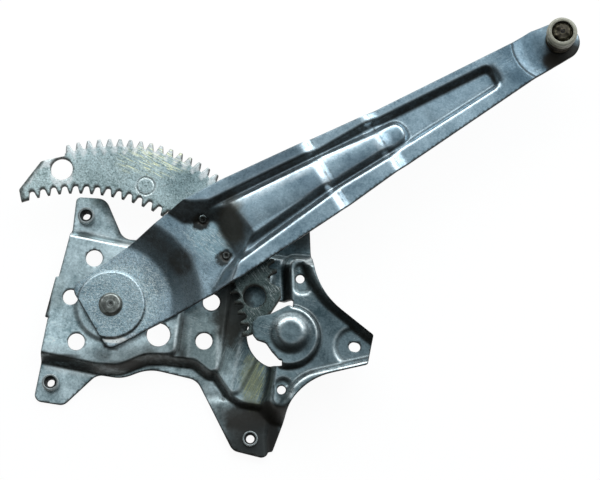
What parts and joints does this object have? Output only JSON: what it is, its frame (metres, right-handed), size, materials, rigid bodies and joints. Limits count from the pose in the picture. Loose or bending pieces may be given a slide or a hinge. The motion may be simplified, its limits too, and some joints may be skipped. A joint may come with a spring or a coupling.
{
  "type": "window regulator",
  "caption": "Single-arm power window regulator without its motor: pressed base plate, toothed sector on a pressed lift arm, and a nylon roller at the arm's tip.",
  "frame": {"origin": "on the pivot's axis, in the plane of the door panel that the base plate's legs bolt to", "axes": "+Z along the pivot axis, from the door panel towards the glass; +X towards the motor side of the plate, with the arm's rest position 30.9 degrees above it"},
  "size_m": [0.3393, 0.263, 0.0472],
  "materials": {
    "plate": "galvanised pressed sheet, dull and mottled, with dried grease",
    "arm": "satin blue-grey zinc-coated pressed sheet",
    "sector": "zinc plating with a greenish chromate, scratched",
    "nut": "bright zinc",
    "pin": "bare riveted steel, brownish",
    "spacer": "plain steel",
    "stud": "bare steel under brown grease",
    "roller": "natural nylon, yellowed and slightly translucent"
  },
  "bodies": {
    "base": {"base_plate": "plate", "nut_upper_left": "nut", "nut_lower_left": "nut", "nut_upper_right": "nut", "nut_bottom": "nut", "pivot_pin": "pin", "pivot_spacer": "spacer"},
    "arm": {"lift_arm": "arm", "sector_gear": "sector", "roller_stud": "stud"},
    "roller": {"roller": "roller"}
  },
  "joints": [
    {"name": "arm_swing", "type": "hinge", "parent": "base", "child": "arm", "pos_m": [0, 0, 0.0165], "axis": [0, 0, 1], "range_deg": [-115, 0]},
    {"name": "roller_spin", "type": "hinge", "parent": "arm", "child": "roller", "pos_m": [0.27027, 0.16082, 0.04], "axis": [0, 0, 1], "continuous": true}
  ]
}
